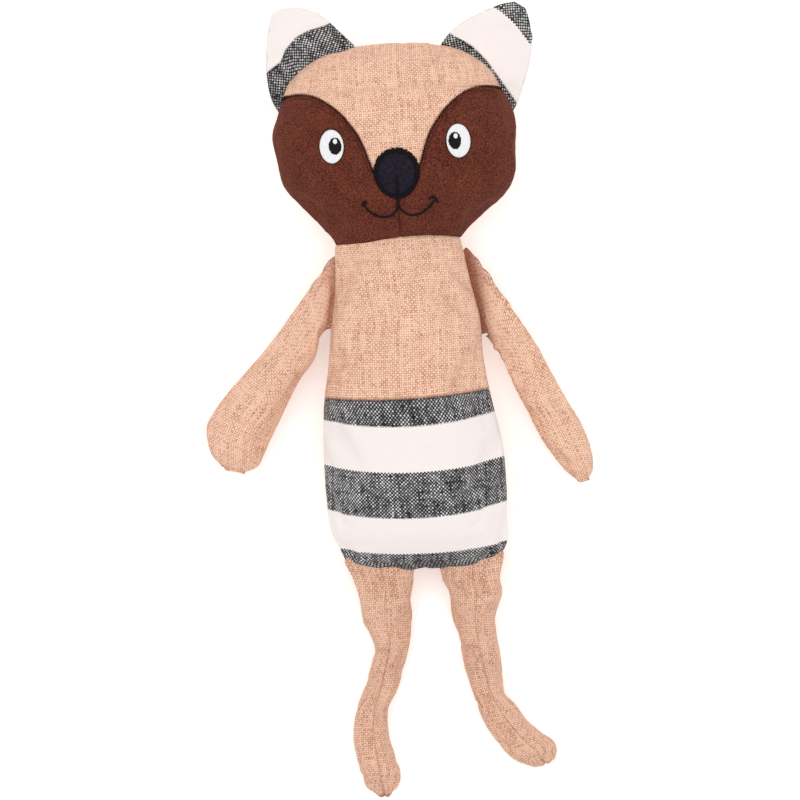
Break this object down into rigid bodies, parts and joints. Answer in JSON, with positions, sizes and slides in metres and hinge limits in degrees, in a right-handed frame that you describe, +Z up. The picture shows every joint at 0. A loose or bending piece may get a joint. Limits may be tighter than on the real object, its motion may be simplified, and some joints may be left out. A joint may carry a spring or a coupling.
{
  "type": "fox dog toy",
  "caption": "Limp stuffed fox toy for dogs, lying on its back: round head with pointed striped ears and a brown face mask, long body, swinging arms and floppy legs.",
  "frame": {"origin": "on the flat of the toy's back, below its waist seam", "axes": "+Z up, out of the face; +Y from the feet to the head; +X to the toy's own left"},
  "size_m": [0.2016, 0.4167, 0.0594],
  "materials": {
    "tan_weave": "coarse linen-look basket weave",
    "brown_suede": "brushed suede cloth",
    "striped_cotton": "woven chambray stripes, dark grey and white",
    "black_felt": "felt",
    "black_thread": "satin stitch",
    "white_thread": "satin stitch",
    "polyester_fibre": "loose fibre",
    "squeaker_plastic": "moulded polyethylene"
  },
  "bodies": {
    "torso": {"chest_panel": "tan_weave", "hip_panel": "striped_cotton", "torso_back_panel": "tan_weave", "torso_stuffing": "polyester_fibre", "squeaker_bladder": "squeaker_plastic", "squeaker_reed": "squeaker_plastic"},
    "head": {"forehead_panel": "tan_weave", "right_face_mask": "brown_suede", "left_face_mask": "brown_suede", "head_back_panel": "tan_weave", "head_stuffing": "polyester_fibre", "nose_patch": "black_felt", "mouth_stitching": "black_thread", "right_eye_white": "white_thread", "left_eye_white": "white_thread", "right_pupil": "black_thread", "left_pupil": "black_thread", "right_eye_highlight": "white_thread", "left_eye_highlight": "white_thread"},
    "right_ear": {"right_ear_front_layer": "striped_cotton", "right_ear_back_layer": "striped_cotton"},
    "right_arm": {"right_arm_front_panel": "tan_weave", "right_arm_back_panel": "tan_weave", "right_arm_stuffing": "polyester_fibre"},
    "right_leg": {"right_leg_outer_panel": "tan_weave", "right_leg_inner_panel": "tan_weave", "right_leg_stuffing": "polyester_fibre"},
    "left_ear": {"left_ear_front_layer": "striped_cotton", "left_ear_back_layer": "striped_cotton"},
    "left_arm": {"left_arm_front_panel": "tan_weave", "left_arm_back_panel": "tan_weave", "left_arm_stuffing": "polyester_fibre"},
    "left_leg": {"left_leg_outer_panel": "tan_weave", "left_leg_inner_panel": "tan_weave", "left_leg_stuffing": "polyester_fibre"}
  },
  "joints": [
    {"name": "neck", "type": "hinge", "parent": "torso", "child": "head", "pos_m": [0, 0.10736, 0.024], "axis": [1, 0, 0], "range_deg": [-25, 25], "stiffness_Nm_per_rad": 0.05},
    {"name": "right_shoulder", "type": "hinge", "parent": "torso", "child": "right_arm", "pos_m": [-0.03812, 0.06025, 0.024], "axis": [0.1352, 0.9908, 0], "range_deg": [-60, 80]},
    {"name": "left_shoulder", "type": "hinge", "parent": "torso", "child": "left_arm", "pos_m": [0.03911, 0.05679, 0.024], "axis": [0.1564, -0.9877, 0], "range_deg": [-60, 80]},
    {"name": "right_hip", "type": "hinge", "parent": "torso", "child": "right_leg", "pos_m": [-0.0176, -0.08765, 0.024], "axis": [-0.987, 0.161, 0], "range_deg": [-55, 85]},
    {"name": "left_hip", "type": "hinge", "parent": "torso", "child": "left_leg", "pos_m": [0.02586, -0.08844, 0.024], "axis": [-0.9783, -0.2073, 0], "range_deg": [-55, 85]},
    {"name": "right_ear_fold", "type": "hinge", "parent": "head", "child": "right_ear", "pos_m": [-0.039, 0.172, 0.024], "axis": [0.8201, 0.5722, 0], "range_deg": [-45, 45], "stiffness_Nm_per_rad": 0.01},
    {"name": "left_ear_fold", "type": "hinge", "parent": "head", "child": "left_ear", "pos_m": [0.04575, 0.1675, 0.024], "axis": [0.7311, -0.6823, 0], "range_deg": [-45, 45], "stiffness_Nm_per_rad": 0.01}
  ]
}
